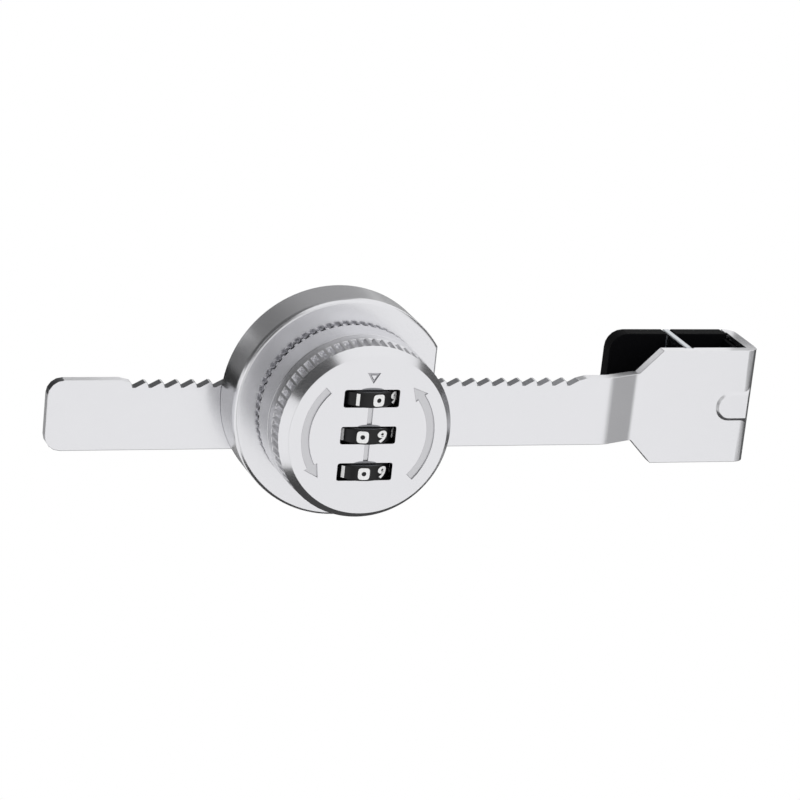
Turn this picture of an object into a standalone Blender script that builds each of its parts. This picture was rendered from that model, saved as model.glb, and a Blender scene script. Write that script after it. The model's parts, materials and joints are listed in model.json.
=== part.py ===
# Sliding door combination lock: a toothed steel bar with a U-shaped hook that grips the edge of
# one door, and a round lock body with a turning dial that slides along the bar.
# X runs along the bar, Z is up and the dial faces -Y.  While the pieces are made, the dial turns
# about X = Z = 0 and the front face of the bar lies in the plane Y = 0, in millimetres.  The last
# step moves the origin onto the inside of the hook, which bears on the door, and scales to metres.
import math
import bpy
import bmesh
from mathutils import Matrix, Vector

METRES_PER_MM = 0.001
MERGE = 0.0005

# Bar
SHEET = 2.2
BAR_HEIGHT = 14.0
BAR_CENTRE_Z = -4.4
BAR_FREE_END_X = -55.2
BAR_CORNER = 3.0
TOOTH_PITCH = 3.16
TOOTH_CREST_DROP = 0.5
TOOTH_DEPTH = 1.0
TOOTH_COUNT = 29
TOOTH_FIRST_X = -39.3
TOOTH_DROP = 0.35
TOOTH_FLOOR = 0.5
TOOTH_RISE = 1.85
TOOTH_LEAD = 2.0

# Jog and hook
JOG_START_X = 58.0
JOG_LENGTH = 7.7
JOG_DEPTH = 2.36
JOG_BEND_INNER = 2.9
PLATE_TOP_Z = 7.5
PLATE_BOTTOM_Z = -16.3
SHOULDER_RUN = 4.8
HOOK_OUTER_X = 91.7
HOOK_BEND_INNER = 0.3
HOOK_BEND_RADIUS = SHEET + HOOK_BEND_INNER
HOOK_REAR_Y = 16.85
LEG_END_X = 63.6
BEND_STEPS = 6
BOSS_LEFT_X = 83.45
BOSS_HEIGHT = 6.1
BOSS_CENTRE_Z = -4.3
BOSS_RAISE = 0.45
BOSS_FLANK = 0.6
BOSS_END = 1.0
BOSS_END_FLANK = 0.9
BOSS_ROOT = 1.2

# Rubber liner in the hook, and the stop that the door edge meets
LEG_BOTTOM_RAISE = 1.2
LINER_WALL = 0.8
LINER_CORNER = 3.6
STOP_X = 76.8
STOP_THICKNESS = 1.4
STOP_GROOVE = 0.4
STOP_EAR = 4.0

# Clearances
FIT = 0.30
SLIDE_FIT = 0.35
FACE_GAP = 0.30

# Number wheels
WHEEL_RADIUS = 6.4
WHEEL_THICKNESS = 3.0
WHEEL_PITCH = 7.2
WHEEL_PROUD = 1.2
WHEEL_EDGE = 0.25
WHEEL_DIGITS = 10
WINDOW_WIDTH = 10.45
WINDOW_HEIGHT = 3.4
WINDOW_CORNER = 0.4
AXLE_RADIUS = 1.35
AXLE_SEAT = 1.2
AXLE_EDGE = 0.2
SLEEVE_ACROSS = 3.4
SLEEVE_HEIGHT = 2.6
GATE_WIDTH = 1.6
GATE_DEPTH = 1.1
SPRING_SHEET = 0.4
SPRING_HALF_WIDTH = 3.0
FINGER_SIDE = 2.0
FINGER_REACH = 1.4
FINGER_HALF_HEIGHT = 0.9

# Room for the wheels inside the dial
CAVITY_SIDE = 2.0
CAVITY_END = 1.2
CAVITY_HALF_X = WHEEL_RADIUS + CAVITY_SIDE
CAVITY_HALF_Z = WHEEL_PITCH + WHEEL_THICKNESS / 2 + FIT + SLEEVE_HEIGHT + CAVITY_END
AXLE_LENGTH = 2 * (CAVITY_HALF_Z + AXLE_SEAT)

# Dial, sized around that room
DIAL_WALL = 1.39
KNURL_DEPTH = 0.45
DIAL_RADIUS = math.hypot(CAVITY_HALF_X, CAVITY_HALF_Z) + DIAL_WALL + KNURL_DEPTH
DIAL_HEIGHT = 15.2
DIAL_CHAMFER = 2.0
DIAL_FACE_INSET = 1.65
DIAL_FACE_RADIUS = DIAL_RADIUS - DIAL_FACE_INSET
SHELL_STEP = 0.25
SHELL_RADIUS = DIAL_RADIUS - SHELL_STEP
DIAL_PARTING = 7.2
DIAL_EDGE = 0.25
KNURL_START = 9.4
KNURL_RIBS = 64
REAR_RIB_LENGTH = 1.1
HUB_RADIUS = 9.5
FACE_WALL = 1.6
FLOOR_WALL = 0.9
DIAL_SCREW_X = (CAVITY_HALF_X + DIAL_RADIUS - KNURL_DEPTH) / 2
DIAL_SCREW_LENGTH = 10.0

# Marks sunk in the dial face
MARK_DEPTH = 0.3
ARROW_INSET = 3.25
ARROW_RADIUS = DIAL_FACE_RADIUS - ARROW_INSET
ARROW_WIDTH = 1.5
ARROW_HEAD = 2.7
ARROW_HEAD_LENGTH = 2.6
ARROW_SPANS = ((-43.0, 49.0), (134.0, 222.0))
INDEX_LINE_WIDTH = 0.9
INDEX_LINE_GAP = 0.15
INDEX_TOP_INSET = 3.35
INDEX_TOP_Z = DIAL_FACE_RADIUS - INDEX_TOP_INSET
INDEX_HALF = 1.2
INDEX_DROP = 1.95

# Screws
SCREW_HEAD_RADIUS = 1.9
SCREW_HEAD_DEPTH = 1.3
SCREW_SHANK_RADIUS = 1.1
SCREW_CROSS_WIDTH = 0.6
SCREW_CROSS_REACH = 1.18
SCREW_CROSS_DEPTH = 0.7

# Lock body
HOUSING_RIM = 4.55
HOUSING_RADIUS = DIAL_RADIUS + HOUSING_RIM
HOUSING_DEPTH = 9.5
HOUSING_FLAT_CUT = 3.8
HOUSING_FLAT_X = HOUSING_RADIUS - HOUSING_FLAT_CUT
HOUSING_EDGE = 0.7
HOUSING_FRONT_WALL = 2.0
COVER_STEP = 3.1
COVER_RADIUS = HOUSING_RADIUS - COVER_STEP
COVER_DEPTH = 4.2
COVER_EDGE = 0.4
COVER_SCREW_INSET = 3.1
COVER_SCREW_RADIUS = COVER_RADIUS - COVER_SCREW_INSET
COVER_SCREW_ANGLES = (126.6, 53.4, -112.5, -67.5)
COVER_SCREW_LENGTH = 6.5

# Retainer, cam and pawl
RETAINER_LAP = 2.9
RETAINER_RADIUS = HUB_RADIUS + RETAINER_LAP
RETAINER_THICKNESS = 1.0
RETAINER_ROOM = 0.8
HOUSING_CAVITY_RADIUS = RETAINER_RADIUS + RETAINER_ROOM
CAM_RADIUS = 4.0
CAM_LIFT = 2.2
CAM_THICKNESS = 2.0
CAM_NECK_RADIUS = 3.2
CAM_NECK_GAP = 0.4
CAM_TURN = 90.0
CAM_DWELL = 10.0
CAM_FALL = 50.0
PAWL_TEETH = 3
PAWL_THICKNESS = 1.8
PAWL_MARGIN = 0.9
PAWL_TIP_GAP = 0.3
PAWL_DROP_GAP = 0.3
PAWL_RISE_GAP = 0.1
NOSE_HALF_WIDTH = 0.6
NOSE_SLOPE = 0.9
FOLLOWER_HALF_WIDTH = 2.0
FOLLOWER_HEIGHT = 2.4
CAM_CLEARANCE = 0.45
PAWL_SPRING_RADIUS = 0.75
PAWL_SPRING_WIRE = 0.2
PAWL_SPRING_TURNS = 5
PAWL_ROOM = 5.0

# How far a cut runs past the face that it opens
OVERCUT = 5.0

# Where the finished part's origin lies on the inside of the hook
ORIGIN_FROM_JOG = 4.3

# Planes along Y, worked out from the sizes above
HOUSING_REAR = -FACE_GAP
HOUSING_FRONT = HOUSING_REAR - HOUSING_DEPTH
DIAL_REAR = HOUSING_FRONT - FACE_GAP
DIAL_FRONT = HOUSING_FRONT - DIAL_HEIGHT
PARTING_Y = HOUSING_FRONT - DIAL_PARTING
CAVITY_FRONT = HOUSING_FRONT + HOUSING_FRONT_WALL
WHEEL_AXIS_Y = DIAL_FRONT - WHEEL_PROUD + WHEEL_RADIUS
HOOK_PLATE_FRONT = JOG_DEPTH
HOOK_PLATE_BACK = JOG_DEPTH + SHEET
LEG_FRONT = HOOK_REAR_Y - SHEET
BAR_TOP = BAR_CENTRE_Z + BAR_HEIGHT / 2
BAR_BOTTOM = BAR_CENTRE_Z - BAR_HEIGHT / 2
TOOTH_TOP = BAR_TOP - TOOTH_CREST_DROP
WHEEL_HEIGHTS = (("top", WHEEL_PITCH), ("middle", 0.0), ("bottom", -WHEEL_PITCH))


def clear_scene():
    for item in list(bpy.data.objects):
        bpy.data.objects.remove(item, do_unlink=True)


def keep(name, mesh_builder):
    """Write a bmesh into a new object with its faces turned outward."""
    bmesh.ops.remove_doubles(mesh_builder, verts=mesh_builder.verts, dist=MERGE)
    bmesh.ops.recalc_face_normals(mesh_builder, faces=mesh_builder.faces)
    mesh = bpy.data.meshes.new(name)
    mesh_builder.to_mesh(mesh)
    mesh_builder.free()
    item = bpy.data.objects.new(name, mesh)
    bpy.context.scene.collection.objects.link(item)
    return item


def loft(name, lower, upper):
    """A solid between two closed outlines that have the same number of points."""
    work = bmesh.new()
    rings = [[work.verts.new(spot) for spot in outline] for outline in (lower, upper)]
    count = len(lower)
    work.faces.new(rings[0])
    work.faces.new(rings[1])
    for i in range(count):
        j = (i + 1) % count
        work.faces.new((rings[0][i], rings[0][j], rings[1][j], rings[1][i]))
    return keep(name, work)


def prism(name, outline, axis, low, high):
    """Extrude a closed outline along an axis.  'Y' takes (x, z), 'Z' takes (x, y), 'X' takes (y, z)."""
    turned = {"X": lambda a, b, c: (c, a, b), "Y": lambda a, b, c: (a, c, b), "Z": lambda a, b, c: (a, b, c)}
    place = turned[axis]
    return loft(name, [place(a, b, low) for a, b in outline], [place(a, b, high) for a, b in outline])


def box(name, x, y, z):
    return prism(name, [(x[0], z[0]), (x[1], z[0]), (x[1], z[1]), (x[0], z[1])], "Y", y[0], y[1])


def circle(radius, centre=(0.0, 0.0), steps=48, start=0.0):
    return [(centre[0] + radius * math.cos(start + 2 * math.pi * i / steps),
             centre[1] + radius * math.sin(start + 2 * math.pi * i / steps)) for i in range(steps)]


def revolve(name, profile, steps, centre=(0.0, 0.0), axis="Y"):
    """Turn a profile of (radius, level) points that starts and ends on the axis."""
    work = bmesh.new()
    rings = []
    for radius, level in profile:
        if radius == 0.0:
            spots = [(centre[0], centre[1])]
        else:
            spots = circle(radius, centre, steps)
        if axis == "Y":
            rings.append([work.verts.new((a, level, b)) for a, b in spots])
        else:
            rings.append([work.verts.new((a, b, level)) for a, b in spots])
    for lower, upper in zip(rings, rings[1:]):
        for i in range(steps):
            j = (i + 1) % steps
            if len(lower) == 1:
                work.faces.new((lower[0], upper[i], upper[j]))
            elif len(upper) == 1:
                work.faces.new((lower[i], lower[j], upper[0]))
            else:
                work.faces.new((lower[i], lower[j], upper[j], upper[i]))
    return keep(name, work)


def combine(item, other, operation):
    """Boolean one solid with another, keep the result in the first, and drop the second."""
    step = item.modifiers.new(operation.lower(), "BOOLEAN")
    step.operation = operation
    step.solver = "EXACT"
    step.object = other
    bpy.context.view_layer.update()
    result = bpy.data.meshes.new_from_object(item.evaluated_get(bpy.context.evaluated_depsgraph_get()))
    item.modifiers.remove(step)
    tidy = bmesh.new()
    tidy.from_mesh(result)
    bmesh.ops.remove_doubles(tidy, verts=tidy.verts, dist=MERGE)
    bmesh.ops.dissolve_degenerate(tidy, edges=tidy.edges, dist=MERGE)
    tidy.to_mesh(result)
    tidy.free()
    old = item.data
    result.name = item.name
    item.data = result
    bpy.data.meshes.remove(old)
    bpy.data.objects.remove(other, do_unlink=True)
    return item


def cut(item, other):
    return combine(item, other, "DIFFERENCE")


def join(item, other):
    return combine(item, other, "UNION")


def arc(centre, radius, first, last, steps):
    """Points along an arc, angles in degrees, both ends included."""
    points = []
    for i in range(steps + 1):
        angle = math.radians(first + (last - first) * i / steps)
        points.append((centre[0] + radius * math.cos(angle), centre[1] + radius * math.sin(angle)))
    return points


def rounded(left, right, bottom, top, radius, steps=3):
    """A rectangle whose four corners are rounded."""
    corners = ((right, top, 0), (left, top, 90), (left, bottom, 180), (right, bottom, 270))
    outline = []
    for x, z, start in corners:
        inside = (x - radius if x == right else x + radius, z - radius if z == top else z + radius)
        outline += arc(inside, radius, start, start + 90, steps)
    return outline


def rounded_left(left, right, bottom, top, radius, steps=5):
    """A rectangle whose two left corners are rounded."""
    return ([(right, bottom), (right, top)]
            + arc((left + radius, top - radius), radius, 90, 180, steps)
            + arc((left + radius, bottom + radius), radius, 180, 270, steps))


def jog_bends():
    """The jog's two bends seen from above: along its front from left to right, and back behind it."""
    jog_end = JOG_START_X + JOG_LENGTH
    # The bends are no wider than two that meet in the middle of the jog.
    both = min(2 * JOG_BEND_INNER + SHEET, (JOG_LENGTH ** 2 + JOG_DEPTH ** 2) / (2 * JOG_DEPTH))
    inner = (both - SHEET) / 2
    straight = math.sqrt(max(JOG_LENGTH ** 2 + (both - JOG_DEPTH) ** 2 - both ** 2, 0.0))
    slope = math.degrees(math.atan2(JOG_LENGTH, both - JOG_DEPTH) - math.atan2(straight, both))
    first = (JOG_START_X, inner + SHEET)
    second = (jog_end, JOG_DEPTH - inner)
    front = arc(first, inner + SHEET, -90, slope - 90, BEND_STEPS)
    front += arc(second, inner, 90 + slope, 90, BEND_STEPS)
    back = arc(second, inner + SHEET, 90, 90 + slope, BEND_STEPS)
    back += arc(first, inner, slope - 90, -90, BEND_STEPS)
    return front, back


def sheet_path():
    """The bent sheet seen from above: outer side first, then back along the inner side."""
    inner = HOOK_BEND_INNER
    centre_x = HOOK_OUTER_X - HOOK_BEND_RADIUS
    front_centre = (centre_x, HOOK_PLATE_FRONT + HOOK_BEND_RADIUS)
    rear_centre = (centre_x, HOOK_REAR_Y - HOOK_BEND_RADIUS)
    jog_front, jog_back = jog_bends()
    outer = [(BAR_FREE_END_X, 0.0)] + jog_front
    outer += arc(front_centre, HOOK_BEND_RADIUS, -90, 0, BEND_STEPS)
    outer += arc(rear_centre, HOOK_BEND_RADIUS, 0, 90, BEND_STEPS)
    outer += [(LEG_END_X + LINER_WALL + FIT, HOOK_REAR_Y)]
    back = [(LEG_END_X + LINER_WALL + FIT, LEG_FRONT)]
    back += arc(rear_centre, inner, 90, 0, BEND_STEPS)
    back += arc(front_centre, inner, 0, -90, BEND_STEPS)
    return outer + back + jog_back + [(BAR_FREE_END_X, SHEET)]


def tooth_line():
    """The toothed top edge from left to right: a steep drop, a short floor, a long rise."""
    points = [(TOOTH_FIRST_X - TOOTH_LEAD, BAR_TOP)]
    for i in range(TOOTH_COUNT):
        x = TOOTH_FIRST_X + i * TOOTH_PITCH
        points += [(x, TOOTH_TOP), (x + TOOTH_DROP, TOOTH_TOP - TOOTH_DEPTH),
                   (x + TOOTH_DROP + TOOTH_FLOOR, TOOTH_TOP - TOOTH_DEPTH),
                   (x + TOOTH_DROP + TOOTH_FLOOR + TOOTH_RISE, TOOTH_TOP)]
    return points + [(points[-1][0] + TOOTH_LEAD, BAR_TOP)]


def make_bar():
    beyond = OVERCUT
    bar = prism("ratchet_bar", sheet_path(), "Z", PLATE_BOTTOM_Z, PLATE_TOP_Z)
    front = (-beyond, (HOOK_PLATE_BACK + LEG_FRONT) / 2)
    shoulder_x = JOG_START_X + JOG_LENGTH
    left = BAR_FREE_END_X - beyond
    roof = PLATE_TOP_Z + beyond
    floor = PLATE_BOTTOM_Z - beyond
    top = [(left, BAR_TOP - BAR_CORNER), (BAR_FREE_END_X, BAR_TOP - BAR_CORNER)]
    top += arc((BAR_FREE_END_X + BAR_CORNER, BAR_TOP - BAR_CORNER), BAR_CORNER, 180, 90, 4)[1:]
    top += tooth_line()
    top += [(shoulder_x, BAR_TOP), (shoulder_x + SHOULDER_RUN, PLATE_TOP_Z), (shoulder_x + SHOULDER_RUN, roof),
            (left, roof)]
    cut(bar, prism("top_cut", top, "Y", *front))
    bottom = [(left, BAR_BOTTOM + BAR_CORNER), (BAR_FREE_END_X, BAR_BOTTOM + BAR_CORNER)]
    bottom += arc((BAR_FREE_END_X + BAR_CORNER, BAR_BOTTOM + BAR_CORNER), BAR_CORNER, 180, 270, 4)[1:]
    bottom += [(shoulder_x, BAR_BOTTOM), (shoulder_x + SHOULDER_RUN, PLATE_BOTTOM_Z),
               (shoulder_x + SHOULDER_RUN, floor), (left, floor)]
    cut(bar, prism("bottom_cut", bottom, "Y", *front))
    # The rear leg is narrower than the fold, so that the liner lies flush with the fold's edges.
    step = LINER_WALL + FIT
    leg_radius = LINER_CORNER - step
    leg_left = LEG_END_X + step
    leg_right = HOOK_OUTER_X - HOOK_BEND_RADIUS
    leg_low = PLATE_BOTTOM_Z + LEG_BOTTOM_RAISE + step
    leg = rounded_left(leg_left, leg_right + beyond, leg_low, PLATE_TOP_Z - step, leg_radius)
    around = box("leg_cut", (leg_left - beyond, leg_right), (LEG_FRONT - SHEET, HOOK_REAR_Y + beyond),
                 (floor, roof))
    cut(around, prism("leg_keep", leg, "Y", LEG_FRONT - beyond, HOOK_REAR_Y + 2 * beyond))
    cut(bar, around)
    reach = STOP_THICKNESS / 2 + FIT
    cut(bar, box("stop_groove", (STOP_X - reach, STOP_X + reach),
                 (HOOK_PLATE_BACK - STOP_GROOVE, HOOK_PLATE_BACK + FIT), (floor, roof)))
    cut(bar, ear_notch())
    return add_boss(bar)


def boss_outline(margin, right):
    """The D of the boss, grown by a margin, with its straight end at right."""
    half = BOSS_HEIGHT / 2
    outline = arc((BOSS_LEFT_X + half, BOSS_CENTRE_Z), half + margin, 90, 270, 12)
    return outline + [(right, BOSS_CENTRE_Z - half - margin), (right, BOSS_CENTRE_Z + half + margin)]


def add_boss(bar):
    """A low boss pressed forward out of the hook plate, with sloped flanks and a hollow behind it."""
    bend_x = HOOK_OUTER_X - HOOK_BEND_RADIUS
    root = boss_outline(BOSS_FLANK * BOSS_ROOT / BOSS_RAISE, bend_x + BOSS_END + BOSS_END_FLANK)
    crest = boss_outline(-BOSS_FLANK, bend_x + BOSS_END)
    join(bar, loft("boss", [(x, HOOK_PLATE_FRONT + BOSS_ROOT, z) for x, z in root],
                   [(x, HOOK_PLATE_FRONT - BOSS_RAISE, z) for x, z in crest]))
    middle = (HOOK_PLATE_BACK + LEG_FRONT) / 2
    return cut(bar, prism("boss_hollow", boss_outline(-BOSS_FLANK, bend_x - FIT), "Y",
                          HOOK_PLATE_BACK - BOSS_RAISE, middle))


def ear_notch():
    """The notch at the top of the rear leg and its liner that the stop's ear lies in."""
    reach = STOP_THICKNESS / 2 + FIT
    middle = (HOOK_PLATE_BACK + LEG_FRONT) / 2
    return box("ear_notch", (STOP_X - reach, STOP_X + reach), (middle, HOOK_REAR_Y + OVERCUT),
               (PLATE_TOP_Z - STOP_EAR - FIT, PLATE_TOP_Z + OVERCUT))


def make_liner():
    """A rubber boot on the rear leg, with a pad that lines the inside of the fold."""
    pad_front = LEG_FRONT - FIT - LINER_WALL
    pad_right = HOOK_OUTER_X - SHEET - FIT
    right = HOOK_OUTER_X - HOOK_BEND_RADIUS - FIT
    bottom = PLATE_BOTTOM_Z + LEG_BOTTOM_RAISE
    liner = prism("hook_liner", rounded_left(LEG_END_X, right, bottom, PLATE_TOP_Z, LINER_CORNER), "Y",
                  pad_front, HOOK_REAR_Y)
    inset = LINER_WALL
    pocket = rounded_left(LEG_END_X + inset, right + OVERCUT, bottom + inset, PLATE_TOP_Z - inset,
                          LINER_CORNER - inset)
    cut(liner, prism("leg_pocket", pocket, "Y", LEG_FRONT - FIT, HOOK_REAR_Y + OVERCUT))
    cut(liner, ear_notch())
    low, high = bottom + inset + FIT, PLATE_TOP_Z - inset - FIT
    join(liner, box("fold_pad", (pad_right - LINER_WALL, pad_right), (HOOK_PLATE_BACK + FIT, LEG_FRONT - FIT),
                    (low, high)))
    return liner


def make_stop():
    """A strip between the hook plate and the rear leg, with an ear at its top that lies in the leg's notch."""
    span = (STOP_X - STOP_THICKNESS / 2, STOP_X + STOP_THICKNESS / 2)
    rear = LEG_FRONT - 2 * FIT - LINER_WALL
    stop = box("door_stop", span, (HOOK_PLATE_BACK - STOP_GROOVE + FIT, rear), (PLATE_BOTTOM_Z, PLATE_TOP_Z))
    return join(stop, box("ear", span, (rear - STOP_EAR, HOOK_REAR_Y), (PLATE_TOP_Z - STOP_EAR, PLATE_TOP_Z)))


def flat_disc(radius, flat_x, steps):
    """A circle cut off by a straight side at +X."""
    half = math.degrees(math.acos(flat_x / radius))
    return arc((0.0, 0.0), radius, half, 360 - half, steps)


def cover_screw_spots():
    spots = []
    for angle in COVER_SCREW_ANGLES:
        turn = math.radians(angle)
        spots.append((COVER_SCREW_RADIUS * math.cos(turn), COVER_SCREW_RADIUS * math.sin(turn)))
    return spots


def make_housing():
    work = bmesh.new()
    levels = [(0.0, HOUSING_REAR), (0.0, HOUSING_FRONT + HOUSING_EDGE)]
    steps = 3
    for i in range(1, steps + 1):
        angle = math.pi / 2 * i / steps
        inset = HOUSING_EDGE * (1 - math.cos(angle))
        levels.append((inset, HOUSING_FRONT + HOUSING_EDGE * (1 - math.sin(angle))))
    rings = []
    for inset, level in levels:
        outline = flat_disc(HOUSING_RADIUS - inset, HOUSING_FLAT_X - inset, 84)
        rings.append([work.verts.new((a, level, b)) for a, b in outline])
    count = len(rings[0])
    work.faces.new(rings[0])
    work.faces.new(rings[-1])
    for lower, upper in zip(rings, rings[1:]):
        for i in range(count):
            j = (i + 1) % count
            work.faces.new((lower[i], lower[j], upper[j], upper[i]))
    housing = keep("housing", work)
    beyond = OVERCUT
    room = prism("room", circle(HOUSING_CAVITY_RADIUS, steps=48), "Y", CAVITY_FRONT, HOUSING_REAR + beyond)
    cut(housing, room)
    cut(housing, prism("bore", circle(HUB_RADIUS + FIT, steps=40), "Y", HOUSING_FRONT - beyond, HOUSING_REAR))
    for x, z in cover_screw_spots():
        hole = prism("hole", circle(SCREW_SHANK_RADIUS + FIT, (x, z), 12), "Y",
                     COVER_DEPTH - SCREW_HEAD_DEPTH - COVER_SCREW_LENGTH - FIT, HOUSING_REAR + beyond)
        cut(housing, hole)
    return housing


def pawl_span():
    """First and last X of the pawl, which spans whole teeth next to the dial axis."""
    first = math.ceil((-PAWL_TEETH / 2 * TOOTH_PITCH - TOOTH_FIRST_X) / TOOTH_PITCH - 0.5)
    start = TOOTH_FIRST_X + first * TOOTH_PITCH
    return start, start + PAWL_TEETH * TOOTH_PITCH


def make_cover():
    """The rear cover, with the channel that the bar runs in and the pocket that the pawl runs in."""
    profile = [(0.0, 0.0), (COVER_RADIUS, 0.0), (COVER_RADIUS, COVER_DEPTH - COVER_EDGE),
               (COVER_RADIUS - COVER_EDGE, COVER_DEPTH), (0.0, COVER_DEPTH)]
    cover = revolve("rear_cover", profile, 64)
    beyond = OVERCUT
    through = (-beyond, COVER_DEPTH + beyond)
    cut(cover, box("side_flat", (HOUSING_FLAT_X - 2 * HOUSING_EDGE, COVER_RADIUS + beyond), through,
                   (-COVER_RADIUS, COVER_RADIUS)))
    cut(cover, box("channel", (-COVER_RADIUS - beyond, COVER_RADIUS + beyond), (-beyond, SHEET + SLIDE_FIT),
                   (BAR_BOTTOM - SLIDE_FIT, BAR_TOP + SLIDE_FIT)))
    start, end = pawl_span()
    pocket_top = pawl_top() + PAWL_ROOM
    cut(cover, box("pocket", (start - PAWL_MARGIN - FIT, end + PAWL_MARGIN + FIT), (-beyond, SHEET + FIT),
                   (TOOTH_TOP - TOOTH_DEPTH, pocket_top)))
    for x, z in cover_screw_spots():
        cut(cover, prism("shank", circle(SCREW_SHANK_RADIUS + FIT, (x, z), 12), "Y", *through))
        cut(cover, prism("sink", circle(SCREW_HEAD_RADIUS + FIT, (x, z), 20), "Y",
                         COVER_DEPTH - SCREW_HEAD_DEPTH - FIT, COVER_DEPTH + beyond))
    return cover


def make_screw(name, x, z, head_y, length, direction):
    """A screw along Y.  The head's outer face is at head_y and the shank points along direction."""
    under = head_y + direction * SCREW_HEAD_DEPTH
    profile = [(0.0, head_y), (SCREW_HEAD_RADIUS, head_y), (SCREW_HEAD_RADIUS, under),
               (SCREW_SHANK_RADIUS, under), (SCREW_SHANK_RADIUS, under + direction * length),
               (0.0, under + direction * length)]
    screw = revolve(name, profile, 16, (x, z))
    slot = SCREW_CROSS_WIDTH / 2
    arm = SCREW_CROSS_REACH
    span = sorted((head_y - direction * OVERCUT, head_y + direction * SCREW_CROSS_DEPTH))
    cross = box("cross", (x - arm, x + arm), span, (z - slot, z + slot))
    join(cross, box("cross_arm", (x - slot, x + slot), span, (z - arm, z + arm)))
    return cut(screw, cross)


def pawl_top():
    return CAM_RADIUS + CAM_CLEARANCE + FOLLOWER_HEIGHT


def make_pawl():
    """A toothed block above the bar, with a follower that reaches forward over the cam."""
    start, end = pawl_span()
    root = TOOTH_TOP + SLIDE_FIT
    tip = TOOTH_TOP - TOOTH_DEPTH + PAWL_TIP_GAP
    top = pawl_top()
    outline = [(start - PAWL_MARGIN, root)]
    for i in range(PAWL_TEETH):
        x = start + i * TOOTH_PITCH
        floor_end = x + TOOTH_DROP + TOOTH_FLOOR
        outline += [(x + PAWL_DROP_GAP, root), (x + TOOTH_DROP + PAWL_DROP_GAP, tip),
                    (floor_end, tip), (floor_end + TOOTH_RISE - PAWL_RISE_GAP, root)]
    outline += [(end + PAWL_MARGIN, root), (end + PAWL_MARGIN, top), (start - PAWL_MARGIN, top)]
    back = (SHEET + PAWL_THICKNESS) / 2
    pawl = prism("pawl", outline, "Y", back - PAWL_THICKNESS, back)
    nose = CAM_RADIUS + CAM_CLEARANCE
    shape = [(-NOSE_HALF_WIDTH, nose), (NOSE_HALF_WIDTH, nose), (FOLLOWER_HALF_WIDTH, nose + NOSE_SLOPE),
             (FOLLOWER_HALF_WIDTH, top), (-FOLLOWER_HALF_WIDTH, top), (-FOLLOWER_HALF_WIDTH, nose + NOSE_SLOPE)]
    join(pawl, prism("follower", shape, "Y", cam_front() - FIT, back - PAWL_THICKNESS / 2))
    return pawl


def make_pawl_spring():
    """A small coil between the pawl and the roof of its pocket."""
    low = pawl_top() + FIT
    high = pawl_top() + PAWL_ROOM - FIT
    wire = PAWL_SPRING_WIRE
    low += wire
    high -= wire
    around, sides = 10, 6
    centre_y = (SHEET + PAWL_THICKNESS) / 2 - PAWL_THICKNESS / 2
    work = bmesh.new()
    rings = []
    total = PAWL_SPRING_TURNS * around
    for i in range(total + 1):
        turn = 2 * math.pi * i / around
        out = Vector((math.cos(turn), math.sin(turn), 0.0))
        centre = Vector((0.0, centre_y, low + (high - low) * i / total)) + out * PAWL_SPRING_RADIUS
        ring = []
        for k in range(sides):
            angle = 2 * math.pi * k / sides
            rise = Vector((0.0, 0.0, wire * math.sin(angle)))
            ring.append(work.verts.new(centre + out * wire * math.cos(angle) + rise))
        rings.append(ring)
    work.faces.new(rings[0])
    work.faces.new(rings[-1])
    for lower, upper in zip(rings, rings[1:]):
        for k in range(sides):
            j = (k + 1) % sides
            work.faces.new((lower[k], lower[j], upper[j], upper[k]))
    return keep("pawl_spring", work)


def retainer_front():
    return CAVITY_FRONT + FIT


def cam_front():
    return retainer_front() + RETAINER_THICKNESS + FIT + CAM_NECK_GAP


def make_retainer():
    """A washer behind the housing's front wall that keeps the dial on."""
    front = retainer_front()
    ring = prism("dial_retainer", circle(RETAINER_RADIUS, steps=40), "Y", front, front + RETAINER_THICKNESS)
    eye = circle(CAM_NECK_RADIUS + FIT, steps=24)
    return cut(ring, prism("eye", eye, "Y", front - OVERCUT, front + RETAINER_THICKNESS + OVERCUT))


def make_cam():
    """A cam whose edge climbs evenly over a quarter turn, on a neck that meets the dial's hub."""
    front = cam_front()
    outline = []
    rise_end = CAM_TURN + CAM_DWELL
    steps = 48
    for i in range(steps):
        turned = 360.0 * i / steps
        if turned <= rise_end:
            lift = CAM_LIFT * min(turned, CAM_TURN) / CAM_TURN
        else:
            lift = CAM_LIFT * max(rise_end + CAM_FALL - turned, 0.0) / CAM_FALL
        radius = CAM_RADIUS + lift
        angle = math.radians(90.0 - turned)
        outline.append((radius * math.cos(angle), radius * math.sin(angle)))
    cam = prism("spindle_cam", outline, "Y", front, front + CAM_THICKNESS)
    neck_front = CAVITY_FRONT + FIT
    join(cam, prism("neck", circle(CAM_NECK_RADIUS, steps=24), "Y", neck_front, front + CAM_THICKNESS * 0.5))
    return cam


def knurled(radius, depth, ribs):
    """A round outline with small ribs: a flat top, a flat floor and sloped sides."""
    points = []
    for i in range(ribs):
        base = 2 * math.pi * i / ribs
        step = 2 * math.pi / ribs
        for share, r in ((0.0, radius), (0.30, radius), (0.52, radius - depth), (0.78, radius - depth)):
            angle = base + share * step
            points.append((r * math.cos(angle), r * math.sin(angle)))
    return points


def cavity_cut(name, low_y, high_y):
    return box(name, (-CAVITY_HALF_X, CAVITY_HALF_X), (low_y, high_y), (-CAVITY_HALF_Z, CAVITY_HALF_Z))


def rib_ring(radius, front, rear):
    """What is cut away around the dial to leave small ribs between two planes."""
    ring = prism("rib_ring", circle(radius + OVERCUT, steps=32), "Y", front, rear)
    core = knurled(radius + 2 * MERGE, KNURL_DEPTH, KNURL_RIBS)
    return cut(ring, prism("rib_core", core, "Y", front - OVERCUT, rear + OVERCUT))


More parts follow.
